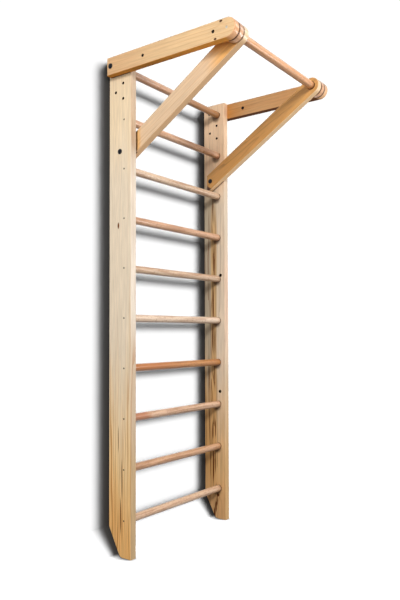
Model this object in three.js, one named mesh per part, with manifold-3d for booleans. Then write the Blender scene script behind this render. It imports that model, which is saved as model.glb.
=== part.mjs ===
// Swedish wall bars: two pine posts that stand on the floor and are fixed to a wall, round beech rungs
// let in between them, and a pull-up unit of two arms, two braces and a bar bolted to the post tops.
// Millimetres, +Z up. The origin is on the wall at floor level, midway between the posts. The wall is
// the plane Y = 0, the front of the object faces -Y, and +X runs from the left post to the right one.

import * as THREE from 'three';
import { mergeVertices } from 'three/addons/utils/BufferGeometryUtils.js';
import Module from 'manifold-3d';

// Posts: boards standing edge-on to the wall, with the lower wall-side corner cut off for a skirting board
const POST_HEIGHT = 2200;
const POST_DEPTH = 130;
const POST_THICKNESS = 34;
const POST_SPAN = 765; // across the outer faces of the two posts
const SKIRTING_CUT_HEIGHT = 126;
const SKIRTING_CUT_DEPTH = 66;
const SKIRTING_CUT_RADIUS = 25;
const EDGE_RADIUS = 3; // eased edges of every board

// Rungs, counted from the top, each let into a blind socket and held by a screw at either end
const RUNG_DIAMETER = 34;
const RUNG_CHAMFER = 2;
const RUNG_PITCH = 220;
const RUNG_FROM_FRONT = 42; // front edge of the post to the rung's axis
const RUNG_SEAT = 18;
const TOP_RUNG_DROP = 60; // post top to the axis of the first rung
const LOWEST_RUNG = 130; // no rung's axis is lower than this

// Pull-up unit: arms on the outer faces of the posts, braces on the inner ones
const ARM_WIDTH = 80;
const ARM_THICKNESS = 34;
const ARM_FROM_WALL = 17;
const BRACE_WIDTH = 78;
const BRACE_THICKNESS = 34;
const BRACE_HEEL = 22; // brace bolt to the cut lower end
const SPACER_DIAMETER = 80;
const SPACER_EDGE_RADIUS = 5;
const BAR_DIAMETER = 36;
const BAR_FROM_WALL = 657;
const BAR_SEAT = 18;
const BAR_PLAY = 1.5; // gap round the bar where it passes the brace

// Dome-head bolts with sleeve nuts
const BOLT_DIAMETER = 8;
const SLEEVE_DIAMETER = 11;
const SLEEVE_LENGTH = 40;
const THREAD_ENGAGEMENT = 20;
const BOLT_HEAD_DIAMETER = 24;
const BOLT_HEAD_HEIGHT = 5;
const BOLT_HEAD_RIM = 1.5;
const HEX_KEY = 6; // across flats
const HEX_DEPTH = 2.5;
const ARM_BOLT_FROM_WALL = 38;
const BRACE_BOLT_FROM_WALL = 64;
const BRACE_BOLT_RUNG_COUNT = 3; // rungs from the top to the one below the brace bolt
const BRACE_BOLT_ABOVE_RUNG = 80;

// Countersunk wood screws, heads just below the surface
const RUNG_SCREW = { diameter: 4.5, head: 8, length: 45, drive: 3.5 };
const BAR_SCREW = { diameter: 6, head: 11, length: 60, drive: 5 };
const SCREW_DRIVE_DEPTH = 1.5; // six-sided drive recess in the head
const SCREW_SINK = 0.5;
const SCREW_POINT = 6; // length of the tapered tip

// Spare fixing holes: a triangle of three near each post top, two blind ones in each post's inner face
// and two on the centre line of each arm
const POST_HOLE_DIAMETER = 8;
const POST_HOLE_PAIR_DROP = 116; // post top to the upper hole of the pair
const POST_HOLE_PAIR_PITCH = 69;
const POST_HOLE_PAIR_FROM_WALL = 83;
const POST_HOLE_THIRD_FROM_WALL = 39;
const BLIND_HOLE_DIAMETER = 9;
const BLIND_HOLE_DEPTH = 16;
const UPPER_BLIND_HOLE_RUNG_COUNT = 5; // rungs from the top to the one below the upper hole
const UPPER_BLIND_HOLE_ABOVE_RUNG = 19;
const UPPER_BLIND_HOLE_FROM_FRONT = 26;
const LOWER_BLIND_HOLE_RUNG_COUNT = 8; // rungs from the top to the one below the lower hole
const LOWER_BLIND_HOLE_ABOVE_RUNG = 66;
const LOWER_BLIND_HOLE_FROM_FRONT = 32;
const ARM_HOLE_DIAMETER = 9;
const ARM_REAR_HOLE_FROM_WALL = 227;
const ARM_FRONT_HOLE_BEHIND_BAR = 64;

// Gap between pieces that touch or fit into each other
const FIT = 0.3;
// How far a cutting tool runs past the face that it enters
const OVERRUN = 5;

const ROUND_SIDES = 24;
const BOLT_SIDES = 16;
const HOLE_SIDES = 12;
const SCREW_SIDES = 8;
const BEVEL_STEPS = 2;

const PINE = { color: 0xe8cfa8, roughness: 0.5, metalness: 0 };
const BEECH = { color: 0xdcab82, roughness: 0.45, metalness: 0 };
const TURNED_BEECH = { color: 0xd9a878, roughness: 0.35, metalness: 0 };
const BLACK_STEEL = { color: 0x15161a, roughness: 0.4, metalness: 0.6 };
const ZINC = { color: 0x9a9992, roughness: 0.45, metalness: 0.9 };

const wasm = await Module();
wasm.setup();

// Places that several pieces share, in a side's own frame: forward from the wall, up from the floor,
// and inward from the outer face of the post
const rungFromWall = POST_DEPTH - RUNG_FROM_FRONT;
const rungCount = 1 + Math.floor((POST_HEIGHT - TOP_RUNG_DROP - LOWEST_RUNG) / RUNG_PITCH);
const rungHeight = (number) => POST_HEIGHT - TOP_RUNG_DROP - (number - 1) * RUNG_PITCH;
const armCentre = POST_HEIGHT - ARM_WIDTH / 2;
const barAxis = new THREE.Vector2(BAR_FROM_WALL, armCentre);
const armBolt = new THREE.Vector2(ARM_BOLT_FROM_WALL, armCentre);
const braceBolt = new THREE.Vector2(
  BRACE_BOLT_FROM_WALL,
  rungHeight(BRACE_BOLT_RUNG_COUNT) + BRACE_BOLT_ABOVE_RUNG,
);
const armOuterFace = -FIT - ARM_THICKNESS;
const braceOuterFace = POST_THICKNESS + FIT;
const braceInnerFace = braceOuterFace + BRACE_THICKNESS;

// A closed solid from a geometry: shared corners merged, slivers at a lathe's axis dropped
function solid(geometry) {
  const plain = geometry.clone();
  plain.deleteAttribute('normal');
  plain.deleteAttribute('uv');
  const merged = mergeVertices(plain);
  const corners = merged.index.array;
  const triangles = [];
  for (let i = 0; i < corners.length; i += 3) {
    const [a, b, c] = corners.slice(i, i + 3);
    if (a !== b && b !== c && c !== a) triangles.push(a, b, c);
  }
  return new wasm.Manifold(new wasm.Mesh({
    numProp: 3,
    vertProperties: new Float32Array(merged.attributes.position.array),
    triVerts: new Uint32Array(triangles),
  }));
}

// A geometry with each of the cutting tools taken out of it
function cut(geometry, tools) {
  const result = tools.reduce((body, tool) => body.subtract(solid(tool)), solid(geometry)).getMesh();
  const carved = new THREE.BufferGeometry();
  carved.setAttribute('position', new THREE.BufferAttribute(result.vertProperties, 3));
  carved.setIndex(new THREE.BufferAttribute(result.triVerts, 1));
  carved.computeVertexNormals();
  return carved;
}

// The mirror image of a piece across the post's outer face
function mirrored(geometry) {
  const image = geometry.clone().scale(1, 1, -1);
  if (!image.index) image.setIndex([...Array(image.attributes.position.count).keys()]);
  const corners = image.index.array;
  for (let i = 0; i < corners.length; i += 3) {
    [corners[i], corners[i + 1]] = [corners[i + 1], corners[i]];
  }
  image.computeVertexNormals();
  return image;
}

// A board with the given outline between two depths, its edges eased
function board(outline, from, thickness) {
  return new THREE.ExtrudeGeometry(outline, {
    depth: thickness - 2 * EDGE_RADIUS,
    bevelThickness: EDGE_RADIUS,
    bevelSize: EDGE_RADIUS,
    bevelOffset: -EDGE_RADIUS,
    bevelSegments: BEVEL_STEPS,
    curveSegments: ROUND_SIDES / 2,
  }).translate(0, 0, from + EDGE_RADIUS);
}

// A cutting rod across a board at a point of its face, between two depths
function rod(point, diameter, from, to, sides = HOLE_SIDES) {
  return new THREE.CylinderGeometry(diameter / 2, diameter / 2, to - from, sides)
    .rotateX(Math.PI / 2)
    .translate(point.x, point.y, (from + to) / 2);
}

// The profile of a countersunk screw along Y, its head's face at 0 and its point down
function screwProfile({ diameter, head, length }, gap) {
  const shank = diameter / 2 + gap;
  const rim = head / 2 + gap;
  return [
    new THREE.Vector2(0, -length - gap),
    new THREE.Vector2(shank, -length + SCREW_POINT),
    new THREE.Vector2(shank, shank - rim),
    new THREE.Vector2(rim, 0),
  ];
}

// A countersunk screw with a six-sided drive recess
function screw(size) {
  const profile = [...screwProfile(size, 0), new THREE.Vector2(0, 0)];
  const recess = sixSided(size.drive, -SCREW_DRIVE_DEPTH);
  return cut(new THREE.LatheGeometry(profile, SCREW_SIDES), [recess]);
}

// The hole that a screw sits in, open above its head
function screwHole(size) {
  const mouth = size.head / 2 + FIT;
  const profile = [
    ...screwProfile(size, FIT),
    new THREE.Vector2(mouth, OVERRUN),
    new THREE.Vector2(0, OVERRUN),
  ];
  return new THREE.LatheGeometry(profile, SCREW_SIDES);
}

// A screw, or its hole, turned to go in at a point of a board's outer face
function driven(form, point, face) {
  return form.rotateX(-Math.PI / 2).translate(point.x, point.y, face + SCREW_SINK);
}

// A six-sided cutting tool along Y that enters from above and ends at the given height
function sixSided(acrossFlats, end) {
  const corner = acrossFlats / Math.sqrt(3);
  const height = OVERRUN + BOLT_HEAD_HEIGHT;
  return new THREE.CylinderGeometry(corner, corner, height, 6).translate(0, end + height / 2, 0);
}

// The half of a domed head's profile from its rim to its crown
function domeProfile() {
  const steps = 4;
  const profile = [new THREE.Vector2(BOLT_HEAD_DIAMETER / 2, 0)];
  for (let i = 0; i < steps; i += 1) {
    const turn = (i / steps) * (Math.PI / 2);
    const rise = (BOLT_HEAD_HEIGHT - BOLT_HEAD_RIM) * Math.sin(turn);
    profile.push(new THREE.Vector2((BOLT_HEAD_DIAMETER / 2) * Math.cos(turn), BOLT_HEAD_RIM + rise));
  }
  profile.push(new THREE.Vector2(0, BOLT_HEAD_HEIGHT));
  return profile;
}

// A dome-head bolt along Y, the head's underside at 0
function bolt(grip) {
  const radius = BOLT_DIAMETER / 2;
  const shank = grip - SLEEVE_LENGTH + THREAD_ENGAGEMENT;
  const profile = [
    new THREE.Vector2(0, -shank),
    new THREE.Vector2(radius, -shank),
    new THREE.Vector2(radius, 0),
    ...domeProfile(),
  ];
  return cut(new THREE.LatheGeometry(profile, BOLT_SIDES), [sixSided(HEX_KEY, BOLT_HEAD_HEIGHT - HEX_DEPTH)]);
}

// A sleeve nut along Y with the same head, bored from its open end for the bolt
function sleeveNut() {
  const bore = BOLT_DIAMETER / 2 + FIT;
  const boreEnd = -SLEEVE_LENGTH + THREAD_ENGAGEMENT + 2 * BOLT_HEAD_RIM;
  const profile = [
    new THREE.Vector2(0, boreEnd),
    new THREE.Vector2(bore, boreEnd),
    new THREE.Vector2(bore, -SLEEVE_LENGTH),
    new THREE.Vector2(SLEEVE_DIAMETER / 2, -SLEEVE_LENGTH),
    new THREE.Vector2(SLEEVE_DIAMETER / 2, 0),
    ...domeProfile(),
  ];
  return cut(new THREE.LatheGeometry(profile, BOLT_SIDES), [sixSided(HEX_KEY, BOLT_HEAD_HEIGHT - HEX_DEPTH)]);
}

// The round bore that a bolt and its sleeve share
function boltHole(point, from, to) {
  return rod(point, SLEEVE_DIAMETER + 2 * FIT, from - OVERRUN, to + OVERRUN, BOLT_SIDES);
}

// A round bar along Y with chamfered ends, drilled at both ends for screws whose heads lie at headFrom
function roundBar(diameter, length, screwSize, headFrom) {
  const radius = diameter / 2;
  const half = length / 2;
  const profile = [
    new THREE.Vector2(0, -half),
    new THREE.Vector2(radius - RUNG_CHAMFER, -half),
    new THREE.Vector2(radius, -half + RUNG_CHAMFER),
    new THREE.Vector2(radius, half - RUNG_CHAMFER),
    new THREE.Vector2(radius - RUNG_CHAMFER, half),
    new THREE.Vector2(0, half),
  ];
  const upper = screwHole(screwSize).translate(0, headFrom, 0);
  const lower = upper.clone().rotateX(Math.PI);
  return cut(new THREE.LatheGeometry(profile, ROUND_SIDES), [upper, lower]);
}

// The post: straight board with the skirting corner cut off and its lower corner rounded
function postOutline() {
  const cutSlope = Math.atan2(SKIRTING_CUT_HEIGHT, SKIRTING_CUT_DEPTH);
  const tangent = SKIRTING_CUT_RADIUS * Math.tan(cutSlope / 2);
  const outline = new THREE.Shape();
  outline.moveTo(0, POST_HEIGHT);
  outline.lineTo(0, SKIRTING_CUT_HEIGHT);
  outline.absarc(
    SKIRTING_CUT_DEPTH + tangent,
    SKIRTING_CUT_RADIUS,
    SKIRTING_CUT_RADIUS,
    1.5 * Math.PI - cutSlope,
    1.5 * Math.PI,
    false,
  );
  outline.lineTo(POST_DEPTH, 0);
  outline.lineTo(POST_DEPTH, POST_HEIGHT);
  return outline;
}

function post() {
  const through = [-OVERRUN, POST_THICKNESS + OVERRUN];
  const tools = [
    boltHole(armBolt, 0, POST_THICKNESS),
    boltHole(braceBolt, 0, POST_THICKNESS),
  ];
  for (let number = 1; number <= rungCount; number += 1) {
    const axis = new THREE.Vector2(rungFromWall, rungHeight(number));
    const socketEnd = POST_THICKNESS - RUNG_SEAT;
    tools.push(rod(axis, RUNG_DIAMETER + 2 * FIT, socketEnd, POST_THICKNESS + OVERRUN, ROUND_SIDES));
    tools.push(driven(screwHole(RUNG_SCREW), axis, 0));
  }
  const pairTop = POST_HEIGHT - POST_HOLE_PAIR_DROP;
  const triangle = [
    new THREE.Vector2(POST_HOLE_PAIR_FROM_WALL, pairTop),
    new THREE.Vector2(POST_HOLE_PAIR_FROM_WALL, pairTop - POST_HOLE_PAIR_PITCH),
    new THREE.Vector2(POST_HOLE_THIRD_FROM_WALL, pairTop - POST_HOLE_PAIR_PITCH / 2),
  ];
  for (const point of triangle) tools.push(rod(point, POST_HOLE_DIAMETER, ...through));
  const blindHoles = [
    new THREE.Vector2(
      POST_DEPTH - UPPER_BLIND_HOLE_FROM_FRONT,
      rungHeight(UPPER_BLIND_HOLE_RUNG_COUNT) + UPPER_BLIND_HOLE_ABOVE_RUNG,
    ),
    new THREE.Vector2(
      POST_DEPTH - LOWER_BLIND_HOLE_FROM_FRONT,
      rungHeight(LOWER_BLIND_HOLE_RUNG_COUNT) + LOWER_BLIND_HOLE_ABOVE_RUNG,
    ),
  ];
  const blindEnd = POST_THICKNESS - BLIND_HOLE_DEPTH;
  for (const point of blindHoles) {
    tools.push(rod(point, BLIND_HOLE_DIAMETER, blindEnd, POST_THICKNESS + OVERRUN));
  }
  return cut(board(postOutline(), 0, POST_THICKNESS), tools);
}

// The arm: level board whose front end is rounded about the bar's axis
function arm() {
  const half = ARM_WIDTH / 2;
  const outline = new THREE.Shape();
  outline.moveTo(ARM_FROM_WALL, armCentre + half);
  outline.lineTo(ARM_FROM_WALL, armCentre - half);
  outline.absarc(barAxis.x, barAxis.y, half, -Math.PI / 2, Math.PI / 2, false);
  const rearHole = new THREE.Vector2(ARM_REAR_HOLE_FROM_WALL, armCentre);
  const frontHole = new THREE.Vector2(BAR_FROM_WALL - ARM_FRONT_HOLE_BEHIND_BAR, armCentre);
  const through = [armOuterFace - OVERRUN, OVERRUN];
  return cut(board(outline, armOuterFace, ARM_THICKNESS), [
    boltHole(armBolt, armOuterFace, -FIT),
    rod(rearHole, ARM_HOLE_DIAMETER, ...through),
    rod(frontHole, ARM_HOLE_DIAMETER, ...through),
    rod(barAxis, BAR_DIAMETER + 2 * FIT, -FIT - BAR_SEAT, OVERRUN, ROUND_SIDES),
    driven(screwHole(BAR_SCREW), barAxis, armOuterFace),
  ]);
}

// The brace: slanted board from the bolt to the bar, round at the bar and cut upright at the heel
function brace() {
  const half = BRACE_WIDTH / 2;
  const run = barAxis.clone().sub(braceBolt);
  const slope = run.angle();
  const heel = BRACE_BOLT_FROM_WALL - BRACE_HEEL;
  const heelHeight = (offset) => braceBolt.y - BRACE_HEEL * Math.tan(slope) + offset / Math.cos(slope);
  const outline = new THREE.Shape();
  outline.moveTo(heel, heelHeight(half));
  outline.lineTo(heel, heelHeight(-half));
  outline.absarc(barAxis.x, barAxis.y, half, slope - Math.PI / 2, slope + Math.PI / 2, false);
  const through = [braceOuterFace - OVERRUN, braceInnerFace + OVERRUN];
  return cut(board(outline, braceOuterFace, BRACE_THICKNESS), [
    boltHole(braceBolt, braceOuterFace, braceInnerFace),
    rod(barAxis, BAR_DIAMETER + 2 * BAR_PLAY, ...through, ROUND_SIDES),
  ]);
}

// The spacer: turned disc as thick as the post, with a soft rim and a bore for the bar
function spacer() {
  const steps = 3;
  const bore = BAR_DIAMETER / 2 + FIT;
  const rimCentre = SPACER_DIAMETER / 2 - SPACER_EDGE_RADIUS;
  const edge = POST_THICKNESS / 2 - SPACER_EDGE_RADIUS;
  const profile = [new THREE.Vector2(bore, -POST_THICKNESS / 2)];
  for (const end of [-1, 1]) {
    for (let i = 0; i <= steps; i += 1) {
      const turn = (end < 0 ? i / steps - 1 : i / steps) * (Math.PI / 2);
      profile.push(new THREE.Vector2(
        rimCentre + SPACER_EDGE_RADIUS * Math.cos(turn),
        end * edge + SPACER_EDGE_RADIUS * Math.sin(turn),
      ));
    }
  }
  profile.push(new THREE.Vector2(bore, POST_THICKNESS / 2));
  profile.push(profile[0].clone());
  return cut(new THREE.LatheGeometry(profile, ROUND_SIDES), [])
    .rotateX(Math.PI / 2)
    .translate(barAxis.x, barAxis.y, POST_THICKNESS / 2);
}

// A bolt and a sleeve nut through two boards, heads outside
function boltPair(point, outerFace, innerFace) {
  const grip = innerFace - outerFace + 2 * FIT;
  return {
    bolt: bolt(grip).rotateX(-Math.PI / 2).translate(point.x, point.y, outerFace - FIT),
    nut: sleeveNut().rotateX(Math.PI / 2).translate(point.x, point.y, innerFace + FIT),
  };
}

const wallBars = new THREE.Group();

function addMesh(group, name, geometry, finish) {
  const mesh = new THREE.Mesh(geometry, new THREE.MeshStandardMaterial(finish));
  mesh.name = name;
  group.add(mesh);
  return mesh;
}

const number2 = (number) => String(number).padStart(2, '0');

// Both sides share one frame, forward, up and inward, and the left one holds mirror images
const sideTurn = new THREE.Matrix4().makeBasis(
  new THREE.Vector3(0, -1, 0),
  new THREE.Vector3(0, 0, 1),
  new THREE.Vector3(-1, 0, 0),
);
const armBolts = boltPair(armBolt, armOuterFace, POST_THICKNESS);
const braceBolts = boltPair(braceBolt, 0, braceInnerFace);
const sidePieces = {
  post: [post(), PINE],
  arm: [arm(), PINE],
  brace: [brace(), PINE],
  spacer: [spacer(), TURNED_BEECH],
  arm_bolt: [armBolts.bolt, BLACK_STEEL],
  arm_nut: [armBolts.nut, BLACK_STEEL],
  brace_bolt: [braceBolts.bolt, BLACK_STEEL],
  brace_nut: [braceBolts.nut, BLACK_STEEL],
  bar_screw: [driven(screw(BAR_SCREW), barAxis, armOuterFace), ZINC],
};
for (let number = 1; number <= rungCount; number += 1) {
  const axis = new THREE.Vector2(rungFromWall, rungHeight(number));
  sidePieces[`rung_screw_${number2(number)}`] = [driven(screw(RUNG_SCREW), axis, 0), ZINC];
}
for (const [sideName, hand] of [['left', -1], ['right', 1]]) {
  const side = new THREE.Group();
  side.quaternion.setFromRotationMatrix(sideTurn);
  side.position.x = hand * POST_SPAN / 2;
  for (const [name, [geometry, finish]] of Object.entries(sidePieces)) {
    addMesh(side, `${sideName}_${name}`, hand < 0 ? mirrored(geometry) : geometry, finish);
  }
  wallBars.add(side);
}

// Rungs and bar lie along X between the two sides
const rungLength = POST_SPAN - 2 * (POST_THICKNESS - RUNG_SEAT + FIT);
const rung = roundBar(RUNG_DIAMETER, rungLength, RUNG_SCREW, POST_SPAN / 2 - SCREW_SINK);
for (let number = 1; number <= rungCount; number += 1) {
  const mesh = addMesh(wallBars, `rung_${number2(number)}`, rung, BEECH);
  mesh.rotation.z = -Math.PI / 2;
  mesh.position.set(0, -rungFromWall, rungHeight(number));
}
const barLength = POST_SPAN + 2 * BAR_SEAT;
const barHead = POST_SPAN / 2 - armOuterFace - SCREW_SINK;
const bar = addMesh(wallBars, 'pull_up_bar', roundBar(BAR_DIAMETER, barLength, BAR_SCREW, barHead), BEECH);
bar.rotation.z = -Math.PI / 2;
bar.position.set(0, -barAxis.x, barAxis.y);

export default wallBars;
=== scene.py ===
import math

import bpy
from mathutils import Matrix, Vector

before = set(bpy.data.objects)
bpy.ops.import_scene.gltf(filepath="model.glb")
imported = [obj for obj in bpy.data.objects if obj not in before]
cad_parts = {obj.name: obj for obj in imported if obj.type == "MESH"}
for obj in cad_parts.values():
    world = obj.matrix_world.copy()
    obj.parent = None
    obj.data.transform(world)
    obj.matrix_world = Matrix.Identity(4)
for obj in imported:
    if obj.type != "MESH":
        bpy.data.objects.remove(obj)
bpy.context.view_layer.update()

# Posts
# Two planed pine boards that stand edge-on to the wall, the lower wall-side corner sawn off for a skirting
# board. They are drilled for rungs and bolts, eased along every edge and finished with clear satin lacquer.

# Sizes are in metres. Faces are given by their distance from the middle of the ladder.
board_thickness = 0.034
post_depth = 0.130
post_outer = 0.765 / 2
post_inner = post_outer - board_thickness


def linear(hex_colour):
    """An sRGB hex colour as the linear red, green, blue and alpha that a shader takes."""
    parts = [int(hex_colour[i:i + 2], 16) / 255 for i in (1, 3, 5)]
    return tuple(c / 12.92 if c <= 0.04045 else ((c + 0.055) / 1.055) ** 2.4 for c in parts) + (1.0,)


def add_node(tree, kind, inputs=None, **settings):
    """Adds one node with its settings; an input is a plain value or another node's output.
    Inputs go by name or by number: a Map Range runs from 1 and 2 to 3 and 4, a colour Mix turns 6 into 7 by
    the share in 0, and a number Mix turns 2 into 3."""
    made = tree.nodes.new(kind)
    for name, value in settings.items():
        setattr(made, name, value)
    for socket, value in (inputs or {}).items():
        if isinstance(value, bpy.types.NodeSocket):
            tree.links.new(value, made.inputs[socket])
        else:
            made.inputs[socket].default_value = value
    return made


# The sander's work: neighbouring facets run into one soft surface, and only true corners stay crisp
same_point = 0.00001
true_corner = math.radians(50)
sanding = bpy.data.node_groups.new("sanding", "GeometryNodeTree")
sanding.interface.new_socket("Geometry", in_out="INPUT", socket_type="NodeSocketGeometry")
sanding.interface.new_socket("Geometry", in_out="OUTPUT", socket_type="NodeSocketGeometry")
rough_sawn = add_node(sanding, "NodeGroupInput")
joined = add_node(sanding, "GeometryNodeMergeByDistance",
                  {"Geometry": rough_sawn.outputs[0], "Distance": same_point})
soft = add_node(sanding, "GeometryNodeSetShadeSmooth",
                {"Geometry": joined.outputs[0], "Shade Smooth": True}, domain="FACE")
fold = add_node(sanding, "GeometryNodeInputMeshEdgeAngle")
corner = add_node(sanding, "FunctionNodeCompare", {0: fold.outputs[0], 1: true_corner},
                  data_type="FLOAT", operation="GREATER_THAN")
sanded = add_node(sanding, "GeometryNodeSetShadeSmooth",
                  {"Geometry": soft.outputs[0], "Selection": corner.outputs[0], "Shade Smooth": False},
                  domain="EDGE")
add_node(sanding, "NodeGroupOutput", {0: sanded.outputs[0]})


def finish(name, material):
    """Sands a piece and gives it its material."""
    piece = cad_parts[name]
    piece.modifiers.new("sanding", "NODES").node_group = sanding
    flats = piece.modifiers.new("true_flats", "WEIGHTED_NORMAL")
    flats.keep_sharp = True
    flats.weight = 100
    piece.data.materials.clear()
    piece.data.materials.append(material)


# Nearly all of a noise pattern lies between these two values
noise_low, noise_high = 0.3, 0.7
# Where two pieces of wood meet, the shaded line between them is this dark
joint_dark = "#4b2810"


def lacquered_pine(name, sap, tones, lines, pith, lean, ring, warp=6.0, curl=0.06, band=None, edge=None,
                   rim=None, seam=None, knots=(), knot_face=0, resin="#4a260c", bores=(), sockets=None,
                   shine=0.35):
    """Planed pine under clear satin lacquer: pale spring wood with darker summer-wood lines that run along
    the board and close into arches where the saw crossed a ring at a slant, and a low, soft sheen.

    sap: colour of the spring wood.
    tones: colours that it turns to, each over one or more spans from the point where the turn begins to the
        point where it is complete.
    lines: colour of the summer wood, the share of a ring at which it sets in, its strength at two points, and
        the two points.
    pith, lean: a point of the tree's centre line and the turn of that line from upright.
    ring, warp, curl: distance between rings, how far they wander and the length of one bend. Rings of pine
        lie 2 to 4 mm apart; they are drawn coarser, because finer ones don't show.
    band: middle and half width of the stripe, along Y, in which the lines are strong.
    edge, rim: the lower edge and the round end, each as a colour, a point and the way out of the wood.
    seam: distance from the middle of the ladder at which a neighbour lies against the board.
    knots, knot_face, resin: twigs and resin streaks as distance from the wall, height, half width and half
        height; the face they lie in; their colour.
    bores: drilled holes, painted dark with shade, as distance from the wall, height, radius and reach from
    the middle.
    sockets: the rungs' distance from the wall, the lowest rung's height, the pitch, and the face they enter.
    shine: strength of the reflection."""
    pine = bpy.data.materials.new(name)
    pine.use_nodes = True
    tree = pine.node_tree
    tree.nodes.clear()
    place = add_node(tree, "ShaderNodeTexCoord").outputs["Object"]
    apart = add_node(tree, "ShaderNodeSeparateXYZ", {0: place})
    away = add_node(tree, "ShaderNodeMath", {0: apart.outputs["X"]}, operation="ABSOLUTE").outputs[0]

    # Wood cells are drawn out along the trunk, so every pattern is stretched that way
    stretch = 16
    trunk = add_node(tree, "ShaderNodeMapping",
                     {"Vector": place, "Location": pith, "Rotation": lean, "Scale": (1, 1, stretch)},
                     vector_type="TEXTURE").outputs[0]

    # Fibres are finer than half a millimetre; streaks 7 mm wide are what shows at the size of the picture
    fibre_width = 0.007
    fibre = add_node(tree, "ShaderNodeTexNoise",
                     {"Vector": trunk, "Scale": 1 / fibre_width, "Detail": 3.0, "Roughness": 0.6}).outputs[0]
    # Growth differs from place to place over some 45 mm
    cloud_width = 0.045
    cloud = add_node(tree, "ShaderNodeTexNoise",
                     {"Vector": trunk, "Scale": 1 / cloud_width, "Detail": 2.0, "Roughness": 0.5}).outputs[0]

    # Twigs and resin streaks show on one face, die out through the board and push the rings aside.
    # Each is dark to 0.6 of its half size, gone at 1.2 and bends the rings out to 5 times its half size.
    twig_depth = 0.026
    sway_width = 0.004
    sway = add_node(tree, "ShaderNodeMapRange",
                    {"Value": cloud, 1: noise_low, 2: noise_high, 3: -sway_width, 4: sway_width}).outputs[0]
    swaying = add_node(tree, "ShaderNodeCombineXYZ", {"Y": sway}).outputs[0]
    swayed = add_node(tree, "ShaderNodeVectorMath", {0: place, 1: swaying}).outputs[0]
    knot_share = 0.0
    push = 0.0
    for forward, height, wide, tall in knots:
        flat = add_node(tree, "ShaderNodeMapping",
                        {"Vector": swayed, "Location": (knot_face, -forward, height),
                         "Scale": (twig_depth, wide, tall)}, vector_type="TEXTURE").outputs[0]
        reach = add_node(tree, "ShaderNodeVectorMath", {0: flat}, operation="LENGTH").outputs["Value"]
        spot = add_node(tree, "ShaderNodeMapRange", {"Value": reach, 1: 0.6, 2: 1.2, 3: 1, 4: 0},
                        interpolation_type="SMOOTHSTEP").outputs[0]
        aside = add_node(tree, "ShaderNodeMapRange", {"Value": reach, 1: 0, 2: 5, 3: 5, 4: 0},
                         interpolation_type="SMOOTHSTEP").outputs[0]
        push = add_node(tree, "ShaderNodeMath", {0: push, 1: aside}).outputs[0]
        knot_share = add_node(tree, "ShaderNodeMath", {0: knot_share, 1: spot},
                              operation="MAXIMUM").outputs[0]

    # The wave pattern takes 20 radians to a unit of its scale
    wave_scale = 2 * math.pi / (20 * ring)
    rings = add_node(tree, "ShaderNodeTexWave",
                     {"Vector": trunk, "Scale": wave_scale, "Distortion": warp, "Detail": 2.0,
                      "Detail Scale": 1 / (curl * wave_scale), "Detail Roughness": 0.5, "Phase Offset": push},
                     wave_type="RINGS", rings_direction="Z", wave_profile="SAW").outputs["Fac"]

    def along(start, end, low, high):
        """Runs from low at one point to high at another, with a ragged border as in grown wood."""
        raggedness = 0.2
        run = Vector(end) - Vector(start)
        off = add_node(tree, "ShaderNodeVectorMath", {0: place, 1: start}, operation="SUBTRACT").outputs[0]
        share = add_node(tree, "ShaderNodeVectorMath", {0: off, 1: run / run.length_squared},
                         operation="DOT_PRODUCT").outputs["Value"]
        wander = add_node(tree, "ShaderNodeMapRange",
                          {"Value": cloud, 1: noise_low, 2: noise_high,
                           3: -raggedness, 4: raggedness}).outputs[0]
        ragged = add_node(tree, "ShaderNodeMath", {0: share, 1: wander}).outputs[0]
        return add_node(tree, "ShaderNodeMapRange", {"Value": ragged, 1: 0, 2: 1, 3: low, 4: high},
                        interpolation_type="SMOOTHSTEP").outputs[0]

    # Spring wood
    ground = linear(sap)
    for colour, *spans in tones:
        turned = 1.0
        for start, end in spans:
            turned = add_node(tree, "ShaderNodeMath", {0: turned, 1: along(start, end, 0, 1)},
                              operation="MULTIPLY").outputs[0]
        ground = add_node(tree, "ShaderNodeMix", {0: turned, 6: ground, 7: linear(colour)},
                          data_type="RGBA").outputs[2]

    # Summer wood: each ring darkens slowly and ends sharply, and some stretches of it stay faint
    line_colour, onset, weak, strong, start, end = lines
    summer = add_node(tree, "ShaderNodeMapRange", {"Value": rings, 1: onset, 2: 0.96, 3: 0, 4: 1},
                      interpolation_type="SMOOTHSTEP").outputs[0]
    clouded = add_node(tree, "ShaderNodeMapRange",
                       {"Value": cloud, 1: 0.35, 2: 0.65, 3: 0.25, 4: 1.0}).outputs[0]
    line = add_node(tree, "ShaderNodeMath", {0: summer, 1: clouded}, operation="MULTIPLY").outputs[0]
    shown = add_node(tree, "ShaderNodeMath", {0: line, 1: along(start, end, weak, strong)},
                     operation="MULTIPLY").outputs[0]
    if band:
        middle, half_width = band
        off = add_node(tree, "ShaderNodeMath", {0: apart.outputs["Y"], 1: middle},
                       operation="SUBTRACT").outputs[0]
        near = add_node(tree, "ShaderNodeMath", {0: off}, operation="ABSOLUTE").outputs[0]
        in_band = add_node(tree, "ShaderNodeMapRange", {"Value": near, 1: half_width, 2: 0, 3: 0.25, 4: 1},
                           interpolation_type="SMOOTHSTEP").outputs[0]
        shown = add_node(tree, "ShaderNodeMath", {0: shown, 1: in_band}, operation="MULTIPLY").outputs[0]
    lined = add_node(tree, "ShaderNodeMix", {0: shown, 6: ground, 7: linear(line_colour)},
                     data_type="RGBA").outputs[2]
    streak = add_node(tree, "ShaderNodeMapRange",
                      {"Value": fibre, 1: noise_low, 2: noise_high, 3: 0.88, 4: 1.08}).outputs[0]
    colour = add_node(tree, "ShaderNodeMix", {0: 1.0, 6: lined, 7: streak},
                      data_type="RGBA", blend_type="MULTIPLY").outputs[2]
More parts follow.
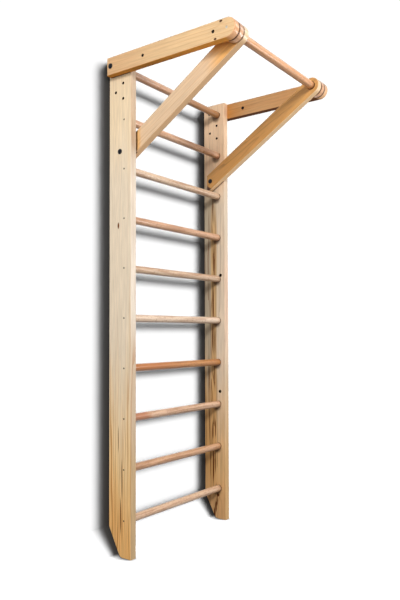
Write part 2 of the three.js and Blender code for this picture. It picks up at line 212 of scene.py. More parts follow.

    # The saw leaves the round end in another tone than the planed faces. The lower edge takes a colour
    # of its own that paints in the light and shade on the underside
    on_edge = 0.0
    if edge:
        edge_colour, edge_point, edge_way = edge
        edge_begins, edge_full = -0.003, -0.0005
        past = add_node(tree, "ShaderNodeVectorMath", {0: place, 1: edge_point},
                        operation="SUBTRACT").outputs[0]
        depth = add_node(tree, "ShaderNodeVectorMath", {0: past, 1: edge_way},
                         operation="DOT_PRODUCT").outputs["Value"]
        on_edge = add_node(tree, "ShaderNodeMapRange",
                           {"Value": depth, 1: edge_begins, 2: edge_full, 3: 0, 4: 1},
                           interpolation_type="SMOOTHSTEP").outputs[0]
        colour = add_node(tree, "ShaderNodeMix", {0: on_edge, 6: colour, 7: linear(edge_colour)},
                          data_type="RGBA").outputs[2]
    if rim:
        rim_colour, rim_centre, rim_way = rim
        rim_begins, rim_full = 0.0365, 0.0385
        turn = 0.01
        out = add_node(tree, "ShaderNodeVectorMath", {0: place, 1: rim_centre},
                       operation="SUBTRACT").outputs[0]
        flat = add_node(tree, "ShaderNodeVectorMath", {0: out, 1: (0, 1, 1)}, operation="MULTIPLY").outputs[0]
        reach = add_node(tree, "ShaderNodeVectorMath", {0: flat}, operation="LENGTH").outputs["Value"]
        at_rim = add_node(tree, "ShaderNodeMapRange",
                          {"Value": reach, 1: rim_begins, 2: rim_full, 3: 0, 4: 1}).outputs[0]
        ahead = add_node(tree, "ShaderNodeVectorMath", {0: out, 1: rim_way},
                         operation="DOT_PRODUCT").outputs["Value"]
        in_front = add_node(tree, "ShaderNodeMapRange",
                            {"Value": ahead, 1: -turn, 2: turn, 3: 0, 4: 1}).outputs[0]
        on_rim = add_node(tree, "ShaderNodeMath", {0: at_rim, 1: in_front}, operation="MULTIPLY").outputs[0]
        colour = add_node(tree, "ShaderNodeMix", {0: on_rim, 6: colour, 7: linear(rim_colour)},
                          data_type="RGBA").outputs[2]

    # A dark line marks where the round end lies against a neighbour. At the post, painted shade darkens
    # the lower edge in the corner where it meets the post
    if seam:
        just_before_post = -(post_depth + 0.001)
        gap_full, gap_gone = 0.002, 0.006
        corner_shade_full, corner_shade_gone = 0.006, 0.012
        at_post = add_node(tree, "ShaderNodeMath", {0: apart.outputs["Y"], 1: just_before_post},
                           operation="GREATER_THAN").outputs[0]
        below = add_node(tree, "ShaderNodeMath", {0: on_edge, 1: at_post}, operation="MULTIPLY").outputs[0]
        off = add_node(tree, "ShaderNodeMath", {0: away, 1: seam}, operation="SUBTRACT").outputs[0]
        near = add_node(tree, "ShaderNodeMath", {0: off}, operation="ABSOLUTE").outputs[0]
        at_gap = add_node(tree, "ShaderNodeMapRange",
                          {"Value": near, 1: gap_full, 2: gap_gone, 3: 1, 4: 0}).outputs[0]
        gap = add_node(tree, "ShaderNodeMath", {0: at_gap, 1: on_rim}, operation="MULTIPLY").outputs[0]
        at_corner_shade = add_node(tree, "ShaderNodeMapRange",
                           {"Value": near, 1: corner_shade_full, 2: corner_shade_gone, 3: 1, 4: 0}).outputs[0]
        corner_shade = add_node(tree, "ShaderNodeMath", {0: at_corner_shade, 1: below}, operation="MULTIPLY").outputs[0]
        seamed = add_node(tree, "ShaderNodeMath", {0: gap, 1: corner_shade}, operation="MAXIMUM").outputs[0]
        colour = add_node(tree, "ShaderNodeMix", {0: seamed, 6: colour, 7: linear(joint_dark)},
                          data_type="RGBA").outputs[2]
    if knots:
        colour = add_node(tree, "ShaderNodeMix", {0: knot_share, 6: colour, 7: linear(resin)},
                          data_type="RGBA").outputs[2]

    # Painted shade: each drilled hole and its rim are nearly black and dull, for the deep shade in the hole
    endless = 1000
    painted_hole_shade = 0.0
    for forward, height, radius, outermost in bores:
        flat = add_node(tree, "ShaderNodeMapping",
                        {"Vector": place, "Location": (0, -forward, height),
                         "Scale": (endless, radius, radius)}, vector_type="TEXTURE").outputs[0]
        reach = add_node(tree, "ShaderNodeVectorMath", {0: flat}, operation="LENGTH").outputs["Value"]
        round_it = add_node(tree, "ShaderNodeMath", {0: reach, 1: 1.0}, operation="LESS_THAN").outputs[0]
        deep_in = add_node(tree, "ShaderNodeMath", {0: away, 1: outermost}, operation="LESS_THAN").outputs[0]
        inside = add_node(tree, "ShaderNodeMath", {0: round_it, 1: deep_in}, operation="MULTIPLY").outputs[0]
        painted_hole_shade = add_node(tree, "ShaderNodeMath", {0: painted_hole_shade, 1: inside}, operation="MAXIMUM").outputs[0]
    colour = add_node(tree, "ShaderNodeMix", {0: painted_hole_shade, 6: colour, 7: linear("#1d0f06")},
                      data_type="RGBA").outputs[2]

    # Painted shade: the rung's shadow on the post, a dark patch in the corner under each rung, a little
    # behind its axis
    if sockets:
        shade_below, shade_behind = 0.012, 0.010
        shade_full, shade_gone = 0.014, 0.032
        face_margin = 0.003
        forward, lowest, pitch, inner_face = sockets
        up = add_node(tree, "ShaderNodeMath", {0: apart.outputs["Z"], 1: lowest - shade_below},
                      operation="SUBTRACT").outputs[0]
        step = add_node(tree, "ShaderNodeMath", {0: up, 1: pitch / 2, 2: -pitch / 2},
                        operation="WRAP").outputs[0]
        ahead = add_node(tree, "ShaderNodeMath", {0: apart.outputs["Y"], 1: forward - shade_behind}).outputs[0]
        flat = add_node(tree, "ShaderNodeCombineXYZ", {"Y": ahead, "Z": step}).outputs[0]
        reach = add_node(tree, "ShaderNodeVectorMath", {0: flat}, operation="LENGTH").outputs["Value"]
        painted_rung_shade = add_node(tree, "ShaderNodeMapRange",
                                {"Value": reach, 1: shade_full, 2: shade_gone, 3: 0.75, 4: 0},
                                interpolation_type="SMOOTHSTEP").outputs[0]
        inward = add_node(tree, "ShaderNodeMath", {0: away, 1: inner_face + face_margin},
                          operation="LESS_THAN").outputs[0]
        rung_shaded = add_node(tree, "ShaderNodeMath", {0: painted_rung_shade, 1: inward},
                         operation="MULTIPLY").outputs[0]
        colour = add_node(tree, "ShaderNodeMix", {0: rung_shaded, 6: colour, 7: linear("#4a2c14")},
                          data_type="RGBA").outputs[2]

    # Planing leaves the harder summer wood a little proud; painted-dark holes, lower edges and knots take no
    # shine
    relief = add_node(tree, "ShaderNodeMath", {0: line, 1: fibre}).outputs[0]
    bump = add_node(tree, "ShaderNodeBump",
                    {"Height": relief, "Strength": 0.2, "Distance": 0.0004}).outputs[0]
    satin = add_node(tree, "ShaderNodeMapRange",
                     {"Value": fibre, 1: noise_low, 2: noise_high, 3: 0.40, 4: 0.52}).outputs[0]
    dull = add_node(tree, "ShaderNodeMath", {0: painted_hole_shade, 1: on_edge}, operation="MAXIMUM").outputs[0]
    dull = add_node(tree, "ShaderNodeMath", {0: dull, 1: knot_share}, operation="MAXIMUM").outputs[0]
    sheen = add_node(tree, "ShaderNodeMix", {0: dull, 2: satin, 3: 1.0}, data_type="FLOAT").outputs[0]
    film = add_node(tree, "ShaderNodeMapRange", {"Value": dull, 3: 0.7 * shine, 4: 0}).outputs[0]
    shader = add_node(tree, "ShaderNodeBsdfPrincipled",
                      {"Base Color": colour, "Roughness": sheen, "Normal": bump, "IOR": 1.5,
                       "Specular IOR Level": shine, "Coat Weight": film, "Coat Roughness": 0.15})
    add_node(tree, "ShaderNodeOutputMaterial", {"Surface": shader.outputs[0]})
    return pine


def height_span(start, end):
    """The points between which a colour turns, at two heights."""
    return (0, 0, start), (0, 0, end)


def depth_span(start, end):
    """The points between which a colour turns, at two distances from the wall."""
    return (0, -start, 0), (0, -end, 0)


# Three holes go right through below the arm, two are blind in the inner face. Each is painted dark with
# shade in a spot a little wider than the drill, which takes in its rim.
right_through = 1
blind_end = 0.36
fixing_hole, blind_hole = 0.0065, 0.0085
post_bores = [(0.083, 2.084, fixing_hole, right_through), (0.083, 2.015, fixing_hole, right_through),
              (0.039, 2.0495, fixing_hole, right_through),
              (0.104, 1.279, blind_hole, blind_end), (0.098, 0.666, blind_hole, blind_end)]
rung_from_wall, lowest_rung, rung_pitch = 0.088, 0.160, 0.220
rung_sockets = (rung_from_wall, lowest_rung, rung_pitch, post_inner)
rearward = depth_span(0.090, 0.060)
low_down = height_span(1.05, 0.25)
front_edge = depth_span(0.1275, 0.1295)
finish("left_post", lacquered_pine(
    "lacquered_pine_left_post", sap="#efdcc1",
    tones=[("#ffd89c", low_down), ("#fbc279", height_span(0.45, 0.05)),
           ("#f6ddb8", height_span(1.60, 1.95)), ("#f4e3ce", front_edge),
           ("#d6b999", front_edge, height_span(1.65, 1.95)),
           ("#e3c8a9", front_edge, height_span(1.05, 0.75)),
           ("#dab98c", front_edge, height_span(0.65, 0.30))],
    lines=("#b4691a", 0.5, 0.10, 0.85, *height_span(1.2, 0.4)), pith=(-0.42, 0.30, 0),
    lean=(0.004, 0.006, 0), ring=0.015, warp=16.0,
    knots=[(0.055, 1.450, 0.0050, 0.015), (0.059, 0.51, 0.0020, 0.06),
           (0.080, 0.34, 0.0022, 0.09), (0.071, 0.18, 0.0036, 0.08)],
    knot_face=-post_outer, resin="#6e3a0c", bores=post_bores, sockets=rung_sockets, shine=0.12))
finish("right_post", lacquered_pine(
    "lacquered_pine_right_post", sap="#ead5bb",
    # Painted shade: towards the wall the right post's face turns darker and greyer, as shade falls there
    tones=[("#bdac92", rearward),
           ("#d8b07c", depth_span(0.085, 0.070), depth_span(0.035, 0.050), height_span(1.75, 1.45)),
           ("#e6b980", low_down), ("#d8a568", rearward, low_down),
           ("#e0ac74", depth_span(0.129, 0.126), height_span(0.28, 0.08)),
           ("#fedcbe", front_edge, height_span(1.50, 1.20), height_span(0.75, 1.00)),
           ("#ffdab4", height_span(1.66, 1.90))],
    lines=("#6a3004", 0.5, 0.3, 1.0, *height_span(1.80, 1.20)), pith=(0.3570, -0.058, 0),
    lean=(0.002, 0.009, 0), ring=0.022, warp=8.0, curl=0.03, band=(-0.045, 0.075),
    knots=[(0.082, 0.124, 0.010, 0.010), (0.075, 0.095, 0.0045, 0.03), (0.068, 0.062, 0.0045, 0.03),
           (0.061, 0.028, 0.0045, 0.03), (0.055, 0.27, 0.0045, 0.09), (0.068, 0.29, 0.0028, 0.06),
           (0.036, 0.30, 0.0026, 0.10), (0.052, 0.46, 0.0036, 0.05), (0.068, 0.47, 0.0036, 0.05),
           (0.028, 0.50, 0.0024, 0.12), (0.060, 0.76, 0.0034, 0.06), (0.029, 0.76, 0.0022, 0.10),
           (0.055, 0.95, 0.0048, 0.09), (0.068, 0.93, 0.0028, 0.07), (0.056, 1.14, 0.0045, 0.11),
           (0.062, 1.38, 0.0035, 0.10), (0.054, 1.62, 0.003, 0.07)],
    knot_face=post_inner, resin="#60300c", bores=post_bores, sockets=rung_sockets, shine=0.10))

# Rungs
# Ten turned beech bars between the posts, let into blind sockets and each held by a screw at either end.
# They are sanded smooth for the hand and lacquered, and their tone differs from tree to tree.


def lacquered_beech(name, tone, dark, streaked, coat, seams, redder_end=None):
    """Turned beech under lacquer: an even pinkish tan with short dark flecks along the grain and faint long
    streaks. Its pores are fine, so the sheen is clearer than on the pine.

    tone, dark: colours of the wood and of its flecks and streaks.
    streaked, coat: strength of the streaks and of the lacquer.
    seams: distances from the middle of the ladder where the wood meets its neighbours and shows a dark line.
    redder_end: the colour of a redder end, the place along X where it is full and the one where it is gone,
        both on average, because its border is ragged."""
    beech = bpy.data.materials.new(name)
    beech.use_nodes = True
    tree = beech.node_tree
    tree.nodes.clear()
    place = add_node(tree, "ShaderNodeTexCoord").outputs["Object"]

    # Streaks 9 mm wide, 18 times as long
    streak_width, streak_stretch = 0.009, 18
    drawn_out = add_node(tree, "ShaderNodeMapping",
                         {"Vector": place, "Scale": (1 / streak_stretch, 1, 1)}).outputs[0]
    streak = add_node(tree, "ShaderNodeTexNoise",
                      {"Vector": drawn_out, "Scale": 1 / streak_width, "Detail": 3.0,
                       "Roughness": 0.55}).outputs[0]
    streak_share = add_node(tree, "ShaderNodeMapRange", {"Value": streak, 1: 0.4, 2: 0.66, 3: 0, 4: streaked},
                            interpolation_type="SMOOTHSTEP").outputs[0]
    # The rays of beech are 2 to 4 mm long; flecks of 7 by 15 mm are what shows at the size of the picture
    fleck_width, fleck_stretch = 0.007, 2.2
    short = add_node(tree, "ShaderNodeMapping",
                     {"Vector": place, "Scale": (1 / fleck_stretch, 1, 1)}).outputs[0]
    fleck = add_node(tree, "ShaderNodeTexNoise",
                     {"Vector": short, "Scale": 1 / fleck_width, "Detail": 2.0, "Roughness": 0.6}).outputs[0]
    fleck_share = add_node(tree, "ShaderNodeMapRange", {"Value": fleck, 1: 0.52, 2: 0.68, 3: 0, 4: 0.45},
                           interpolation_type="SMOOTHSTEP").outputs[0]
    colour = add_node(tree, "ShaderNodeMix", {0: streak_share, 6: linear(tone), 7: linear(dark)},
                      data_type="RGBA").outputs[2]
    colour = add_node(tree, "ShaderNodeMix", {0: fleck_share, 6: colour, 7: linear(dark)},
                      data_type="RGBA").outputs[2]

    sideways = add_node(tree, "ShaderNodeSeparateXYZ", {0: place}).outputs["X"]
    if redder_end:
        redder_colour, redder_full, redder_gone = redder_end
        raggedness = 0.25
        ragged = add_node(tree, "ShaderNodeMath", {0: streak, 1: raggedness, 2: sideways},
                          operation="MULTIPLY_ADD").outputs[0]
        middle = raggedness / 2
        reddened = add_node(tree, "ShaderNodeMapRange",
                            {"Value": ragged, 1: redder_full + middle, 2: redder_gone + middle, 3: 1, 4: 0},
                            interpolation_type="SMOOTHSTEP").outputs[0]
        colour = add_node(tree, "ShaderNodeMix", {0: reddened, 6: colour, 7: linear(redder_colour)},
                          data_type="RGBA").outputs[2]
    away = add_node(tree, "ShaderNodeMath", {0: sideways}, operation="ABSOLUTE").outputs[0]
    seam_full, seam_gone = 0.003, 0.007
    seamed = 0.0
    for seam in seams:
        off = add_node(tree, "ShaderNodeMath", {0: away, 1: seam}, operation="SUBTRACT").outputs[0]
        near = add_node(tree, "ShaderNodeMath", {0: off}, operation="ABSOLUTE").outputs[0]
        at_seam = add_node(tree, "ShaderNodeMapRange",
                           {"Value": near, 1: seam_full, 2: seam_gone, 3: 0.9, 4: 0}).outputs[0]
        seamed = add_node(tree, "ShaderNodeMath", {0: seamed, 1: at_seam}, operation="MAXIMUM").outputs[0]
    colour = add_node(tree, "ShaderNodeMix", {0: seamed, 6: colour, 7: linear(joint_dark)},
                      data_type="RGBA").outputs[2]

    # The lathe and the sander leave a fine grain; the dark seams take no shine
    bump = add_node(tree, "ShaderNodeBump",
                    {"Height": fleck, "Strength": 0.15, "Distance": 0.0003}).outputs[0]
    satin = add_node(tree, "ShaderNodeMapRange",
                     {"Value": streak, 1: noise_low, 2: noise_high, 3: 0.32, 4: 0.44}).outputs[0]
    sheen = add_node(tree, "ShaderNodeMix", {0: seamed, 2: satin, 3: 1.0}, data_type="FLOAT").outputs[0]
    film = add_node(tree, "ShaderNodeMapRange", {"Value": seamed, 3: coat, 4: 0}).outputs[0]
    shader = add_node(tree, "ShaderNodeBsdfPrincipled",
                      {"Base Color": colour, "Roughness": sheen, "Normal": bump, "IOR": 1.5,
                       "Specular IOR Level": 0.4, "Coat Weight": film, "Coat Roughness": 0.1})
    add_node(tree, "ShaderNodeOutputMaterial", {"Surface": shader.outputs[0]})
    return beech


# Rungs are counted from the top. The seventh is darker all over, and three are redder towards one end.
rung_tones = {1: "#e1b089", 2: "#eebe96", 3: "#efd0b0", 4: "#e2b18c", 5: "#e5c5a6",
              6: "#f3d7bc", 7: "#ce8b49", 8: "#e6bd9b", 9: "#d9a87f", 10: "#eac3a0"}
usual_flecks = "#a56c42"
dark_flecks = {7: "#8c4c24"}
redder_ends = {1: ("#b47e4c", 0.125, 0.005), 7: ("#c07434", -0.205, 0.095), 8: ("#c27e56", -0.255, -0.205)}
for number, tone in rung_tones.items():
    finish(f"rung_{number:02d}", lacquered_beech(
        f"lacquered_beech_rung_{number:02d}", tone, dark_flecks.get(number, usual_flecks),
        streaked=0.6, coat=0.2, seams=[post_inner], redder_end=redder_ends.get(number)))

# Rung screws
# Zinc-plated countersunk wood screws, one through each post into the end of each rung, driven until the
# head lies just below the outer face.


def plated_steel(name, colour, roughness, cloud_size):
    """Steel under a thin plating or oxide: a plain metal whose shine is slightly cloudy. The crystals of a
    plating are too fine to see; clouds of cloud_size are what shows."""
    plated = bpy.data.materials.new(name)
    plated.use_nodes = True
    tree = plated.node_tree
    tree.nodes.clear()
    place = add_node(tree, "ShaderNodeTexCoord").outputs["Object"]
    cloud = add_node(tree, "ShaderNodeTexNoise",
                     {"Vector": place, "Scale": 1 / cloud_size, "Detail": 3.0, "Roughness": 0.6}).outputs[0]
    dull = add_node(tree, "ShaderNodeMapRange",
                    {"Value": cloud, 1: noise_low, 2: noise_high,
                     3: roughness - 0.1, 4: roughness + 0.1}).outputs[0]
    tint = add_node(tree, "ShaderNodeMapRange",
                    {"Value": cloud, 1: noise_low, 2: noise_high, 3: 0.8, 4: 1.1}).outputs[0]
    shade = add_node(tree, "ShaderNodeMix", {0: 1.0, 6: linear(colour), 7: tint},
                     data_type="RGBA", blend_type="MULTIPLY").outputs[2]
    shader = add_node(tree, "ShaderNodeBsdfPrincipled",
                      {"Base Color": shade, "Metallic": 1.0, "Roughness": dull})
    add_node(tree, "ShaderNodeOutputMaterial", {"Surface": shader.outputs[0]})
    return plated


dull_zinc = plated_steel("dull_zinc_plated_steel", "#4c473f", roughness=0.5, cloud_size=0.002)
for number in rung_tones:
    finish(f"left_rung_screw_{number:02d}", dull_zinc)
    finish(f"right_rung_screw_{number:02d}", dull_zinc)

# Arms
# Two level pine boards on the outer faces of the posts, flush with the post tops, sawn round at the front
# about the bar and bolted to the posts at the back. Their lower edges are painted darker, with the shade
# on the underside.

arm_outer = post_outer + board_thickness
arm_half_width = 0.040
bar_from_wall, bar_height = 0.657, 2.160
bar_point = Vector((0, -bar_from_wall, bar_height))
arm_lower_edge = (0, 0, bar_height - arm_half_width)
down = (0, 0, -1)
out_from_wall = Vector((0, -1, 0))
rear_hole, front_hole = 0.227, 0.593
arm_hole = 0.0072
# Seen from within, the rear hole has a wider painted dark rim
rear_rim, rear_rim_end = 0.0085, 0.385
arm_bores = [(rear_hole, bar_height, arm_hole, right_through),
             (rear_hole, bar_height, rear_rim, rear_rim_end),
             (front_hole, bar_height, arm_hole, right_through)]
finish("left_arm", lacquered_pine(
    "lacquered_pine_left_arm", sap="#e6c08f", tones=[("#e2b482", depth_span(0.45, 0.05))],
    lines=("#b97f40", 0.6, 0.25, 0.35, *height_span(2.0, 2.2)), pith=(-0.36, 0, 2.50),
    lean=(math.pi / 2 + 0.02, 0, 0.01), ring=0.017, edge=("#d8923c", arm_lower_edge, down),
    rim=("#dca270", bar_point, out_from_wall), seam=post_outer,
    knots=[(0.630, 2.192, 0.008, 0.0055), (0.602, 2.127, 0.007, 0.005)], knot_face=-arm_outer,
    bores=arm_bores))
# Painted shade: the right arm turns darker towards its post, in the post's shade
finish("right_arm", lacquered_pine(
    "lacquered_pine_right_arm", sap="#d8a671",
    tones=[("#d09961", depth_span(0.1, 0.6)), ("#c8863e", depth_span(0.32, 0.08))],
    lines=("#9c6228", 0.6, 0.25, 0.35, *height_span(2.0, 2.2)), pith=(0.36, 0, 2.50),
    lean=(math.pi / 2 - 0.02, 0, -0.01), ring=0.017, edge=("#5c3412", arm_lower_edge, down),
    rim=("#d9a878", bar_point, out_from_wall), seam=post_outer, bores=arm_bores))

# Braces
# Two slanted pine boards on the inner faces of the posts, each bolted to its post above the third rung and
# rising to the bar, which passes through its round upper end.

brace_half_width = 0.039
bolt_point = Vector((0, -0.064, 1.780))
rise = (bar_point - bolt_point).normalized()
slope = math.atan2(rise.z, -rise.y)
downward = Vector((0, -rise.z, rise.y))
brace_lower_edge = bolt_point + brace_half_width * downward
bar_hole = [(bar_from_wall, bar_height, 0.0205, right_through)]
# The left board was sawn well below the pith, the right one through it. The left one turns more golden just
# ahead of its post; painted shade darkens it in a line where it meets the front of the post, and turns it
# warmer and darker under its arm and towards the bar. Painted shade darkens the right one at its lower tip,
# above the third rung, and painted light makes it lighter towards the bar, where it is shaded.
left_pith = bolt_point - 0.3 * downward + Vector((-0.33, 0, 0))
right_pith = (bolt_point + bar_point) / 2 + Vector((0.365, 0, 0))
finish("left_brace", lacquered_pine(
    "lacquered_pine_left_brace", sap="#e3c29d",
    tones=[("#ecb26a", depth_span(0.50, 0.60)), ("#e4b272", depth_span(0.160, 0.142)),
           ("#5a3c14", depth_span(0.139, 0.136), depth_span(0.118, 0.124)),
           ("#e6a55c", height_span(2.105, 2.125))],
    lines=("#c08648", 0.6, 0.2, 0.3, *height_span(1.8, 2.1)), pith=left_pith,
    lean=(math.pi / 2 - slope + 0.02, 0, 0.01), ring=0.017, edge=("#dcb388", brace_lower_edge, downward),
    rim=("#ecc9a0", bar_point, rise), seam=post_inner, bores=bar_hole))
finish("right_brace", lacquered_pine(
    "lacquered_pine_right_brace", sap="#d49a56",
    tones=[("#e3a861", depth_span(0.35, 0.60)), ("#4a2408", ((0, -0.067, 1.747), (0, -0.063, 1.740)))],
    lines=("#7d4a1c", 0.65, 0.42, 0.42, *height_span(1.8, 2.1)), pith=right_pith,
    lean=(math.pi / 2 - slope, 0, 0.07), ring=0.012, warp=12.0, edge=("#dcb98e", brace_lower_edge, downward),
    rim=("#ecc9a0", bar_point, rise), seam=post_inner, bores=bar_hole))

# Spacers
# Two turned beech discs as thick as the posts, threaded on the bar between arm and brace. Their rims are
# rounded on the lathe and catch the light.

disc_beech = lacquered_beech("lacquered_beech_turned_disc", "#dca67a", "#a06a40",
                             streaked=0.5, coat=0.35, seams=[post_inner, post_outer])
finish("left_spacer", disc_beech)
finish("right_spacer", disc_beech)

# Pull-up bar
# A turned beech bar, a little thicker than a rung and lacquered like one. It passes through both braces and
# spacers and is seated in blind holes in the arms, with a dark seam where it enters each brace.

joint_gap = 0.0003
brace_inner = post_inner - joint_gap - board_thickness
finish("pull_up_bar", lacquered_beech("lacquered_beech_bar", "#ffb97c", "#b07446",
                                      streaked=0.5, coat=0.2, seams=[brace_inner]))

# Bar screws
# One larger countersunk wood screw through each arm, driven into the end of the bar on its axis. It is
# zinc-plated too, and its head is cleaner and brighter than those of the rung screws.

bright_zinc = plated_steel("bright_zinc_plated_steel", "#cfc8bb", roughness=0.4, cloud_size=0.002)
finish("left_bar_screw", bright_zinc)
finish("right_bar_screw", bright_zinc)

# Bolts and sleeve nuts
# Black dome-head bolts with a six-sided key socket clamp arm to post and post to brace. Each runs into a
# sleeve nut with the same head on the other side.

black_steel = plated_steel("blackened_steel", "#26272c", roughness=0.38, cloud_size=0.0015)
for side in ("left", "right"):
    for fixing in ("arm_bolt", "arm_nut", "brace_bolt", "brace_nut"):
        finish(f"{side}_{fixing}", black_steel)

# Wall and floor
# One white sheet: it comes down the wall that the posts are fixed to, slants forward behind their sawn-off
# corners and runs on as the floor. It is painted on its front only, so the ladder can be seen from behind.

sheet_reach = 12.0
wall_gap = 0.001
slant_top, slant_foot = 0.1265, 0.0645
profile = [(wall_gap, sheet_reach), (wall_gap, slant_top), (-slant_foot, 0.0), (-sheet_reach, 0.0)]
corners = [(x, y, z) for y, z in profile for x in (-sheet_reach, sheet_reach)]
strips = [(2 * i, 2 * i + 2, 2 * i + 3, 2 * i + 1) for i in range(len(profile) - 1)]
sheet_mesh = bpy.data.meshes.new("white_sheet")
sheet_mesh.from_pydata(corners, [], strips)
sheet = bpy.data.objects.new("white_sheet", sheet_mesh)
bpy.context.scene.collection.objects.link(sheet)
# The sheet throws no light back on the ladder and shades nothing
sheet.visible_diffuse = False
sheet.visible_glossy = False
sheet.visible_transmission = False
sheet.visible_shadow = False

# Matt paint that its own strong lamps lift to white. Its colour sends back 4 per cent of the light, so that
# the other lamps draw no second shadow on it. The floor, which the lamps only graze, has a glow to match.
glow_top = 0.018
paint = bpy.data.materials.new("matt_white_paint")
paint.use_nodes = True
tree = paint.node_tree
tree.nodes.clear()
matt = add_node(tree, "ShaderNodeBsdfDiffuse", {"Color": linear("#383838")})
surface = add_node(tree, "ShaderNodeNewGeometry")
above_floor = add_node(tree, "ShaderNodeSeparateXYZ", {0: surface.outputs["Position"]}).outputs["Z"]
glow = add_node(tree, "ShaderNodeMapRange", {"Value": above_floor, 1: glow_top, 2: 0, 3: 0.015, 4: 0.82},
                interpolation_type="SMOOTHSTEP").outputs[0]
# Close under the feet the glow dies away, as light does in a narrow gap
narrow_gap = 0.035
openness = add_node(tree, "ShaderNodeAmbientOcclusion", {"Distance": narrow_gap}, samples=8).outputs["AO"]
open_share = add_node(tree, "ShaderNodeMapRange",
                      {"Value": openness, 1: 0.45, 2: 0.9, 3: 0.1, 4: 1}).outputs[0]
seen_glow = add_node(tree, "ShaderNodeMath", {0: glow, 1: open_share}, operation="MULTIPLY").outputs[0]
glowing = add_node(tree, "ShaderNodeEmission", {"Color": linear("#ffffff"), "Strength": seen_glow})
painted = add_node(tree, "ShaderNodeAddShader", {0: matt.outputs[0], 1: glowing.outputs[0]})
bare = add_node(tree, "ShaderNodeBsdfTransparent")
one_sided = add_node(tree, "ShaderNodeMixShader",
                     {0: surface.outputs["Backfacing"], 1: painted.outputs[0], 2: bare.outputs[0]})
add_node(tree, "ShaderNodeOutputMaterial", {"Surface": one_sided.outputs[0]})
sheet_mesh.materials.append(paint)

# Light
# Soft boxes stand at the front left, close by on the left, and high and low at the front right, in a pale
# room, with a small one under the pull-up unit. Far-off lamps on the sheet alone draw the ladder's shadow.


def soft_box(name, place, target, width, height, power):
    """A rectangular lamp at a place, turned to a target, with its size in metres and its power in watts."""
    lamp = bpy.data.objects.new(name, bpy.data.lights.new(name, "AREA"))
    lamp.data.shape = "RECTANGLE"
    lamp.data.size = width
    lamp.data.size_y = height
    lamp.data.energy = power
    lamp.location = place
    lamp.rotation_euler = (Vector(target) - Vector(place)).to_track_quat("-Z", "Y").to_euler()
    bpy.context.scene.collection.objects.link(lamp)
    return lamp


soft_box("front_left_soft_box", (-3.5, -3.1, 3.3), (0, -0.2, 1.2), width=0.9, height=0.9, power=136)
soft_box("left_soft_box", (-2.4, -0.9, 1.7), (-0.2, -0.1, 0.9), width=1.0, height=1.6, power=20)
soft_box("high_right_soft_box", (2.3, -2.9, 3.9), (0, -0.3, 1.4), width=1.2, height=1.2, power=38)
soft_box("low_right_soft_box", (1.9, -2.4, 1.5), (0, -0.3, 1.8), width=0.7, height=0.7, power=23)

# The small soft box, low in front, reaches the boards of the pull-up unit only and lifts their undersides
unit = bpy.data.collections.new("pull_up_unit")
for piece in ("arm", "brace", "spacer"):
    for side in ("left", "right"):
        unit.objects.link(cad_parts[f"{side}_{piece}"])
under = soft_box("under_soft_box", (0.3, -1.9, 0.7), (0, -0.55, 2.1), width=0.6, height=0.6, power=17)
under.light_linking.receiver_collection = unit

# Two lamps from nearly the same side, one with a narrow and one with a wide spread, give a shadow with a dark
# core and a soft border. Only posts and rungs throw it.
lit = bpy.data.collections.new("sheet_alone")
lit.objects.link(sheet)
shading = bpy.data.collections.new("ladder")
for name in ["left_post", "right_post"] + [f"rung_{number:02d}" for number in rung_tones]:
    shading.objects.link(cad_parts[name])
leftward = 0.58
for spread, power, drop in ((18, 56.6, 0.37), (37, 41.5, 0.28)):
    lamp = bpy.data.objects.new("sheet_lamp", bpy.data.lights.new("sheet_lamp", "SUN"))
    lamp.data.energy = power
    lamp.data.angle = math.radians(spread)
    lamp.rotation_euler = Vector((-leftward, 1, -drop)).to_track_quat("-Z", "Y").to_euler()
    lamp.light_linking.receiver_collection = lit
    lamp.light_linking.blocker_collection = shading
    bpy.context.scene.collection.objects.link(lamp)

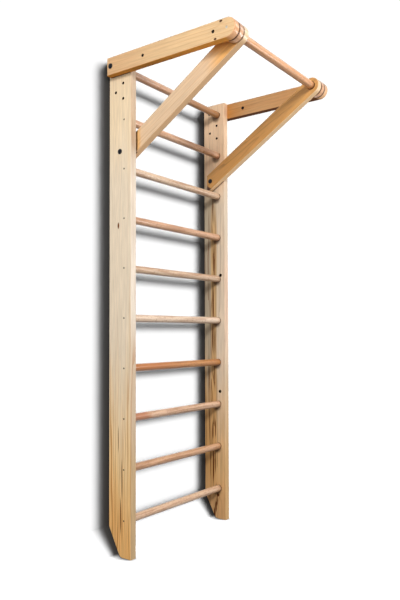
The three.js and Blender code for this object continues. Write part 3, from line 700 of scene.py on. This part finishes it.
# The room gives most from the front and above, least from the wall and the floor; seen directly or mirrored
# in a shiny face it is plain white
brightest_side = (0, -0.35, 0.94)
least_light, most_light = 0.02, 0.34
room = bpy.data.worlds.new("pale_room")
bpy.context.scene.world = room
room.use_nodes = True
tree = room.node_tree
tree.nodes.clear()
around = add_node(tree, "ShaderNodeTexCoord").outputs["Generated"]
toward = add_node(tree, "ShaderNodeVectorMath", {0: around, 1: brightest_side},
                  operation="DOT_PRODUCT").outputs["Value"]
level = add_node(tree, "ShaderNodeMapRange",
                 {"Value": toward, 1: -1, 2: 1, 3: least_light, 4: most_light}).outputs[0]
path = add_node(tree, "ShaderNodeLightPath")
mirrored = add_node(tree, "ShaderNodeMath",
                    {0: path.outputs["Is Camera Ray"], 1: path.outputs["Is Glossy Ray"]},
                    operation="MAXIMUM").outputs[0]
direct = add_node(tree, "ShaderNodeMath", {0: mirrored, 1: path.outputs["Is Transmission Ray"]},
                  operation="MAXIMUM").outputs[0]
strength = add_node(tree, "ShaderNodeMix", {0: direct, 2: level, 3: 1.0}, data_type="FLOAT").outputs[0]
sky = add_node(tree, "ShaderNodeBackground", {"Color": linear("#ffffff"), "Strength": strength})
add_node(tree, "ShaderNodeOutputWorld", {"Surface": sky.outputs[0]})

# Camera
# The viewer stands in front and to the left, a little under a metre above the floor, and looks up slightly.
# The place, the turn and the lens come from the edges, rungs, bolts and holes in the photograph.

eye = (-2.46375, -2.01489, 0.97217)
yaw, pitch, roll = math.radians(54.19), math.radians(2.05), math.radians(-0.19)
picture_height_px = 600
focal_length_px = 643.08
shift_x_px, shift_y_px = -2.54, 10.28
sensor_mm = 36
ahead = Vector((math.sin(yaw) * math.cos(pitch), math.cos(yaw) * math.cos(pitch), math.sin(pitch)))
level_right = Vector((math.cos(yaw), -math.sin(yaw), 0))
right = level_right * math.cos(roll) + level_right.cross(ahead) * math.sin(roll)
stand = Matrix((right, right.cross(ahead), -ahead)).transposed().to_4x4()
stand.translation = eye
viewer = bpy.data.objects.new("viewer", bpy.data.cameras.new("viewer"))
viewer.matrix_world = stand
viewer.data.lens = sensor_mm * focal_length_px / picture_height_px
viewer.data.shift_x = shift_x_px / picture_height_px
viewer.data.shift_y = shift_y_px / picture_height_px
bpy.context.scene.collection.objects.link(viewer)
bpy.context.scene.camera = viewer
bpy.context.scene.view_settings.view_transform = "Standard"
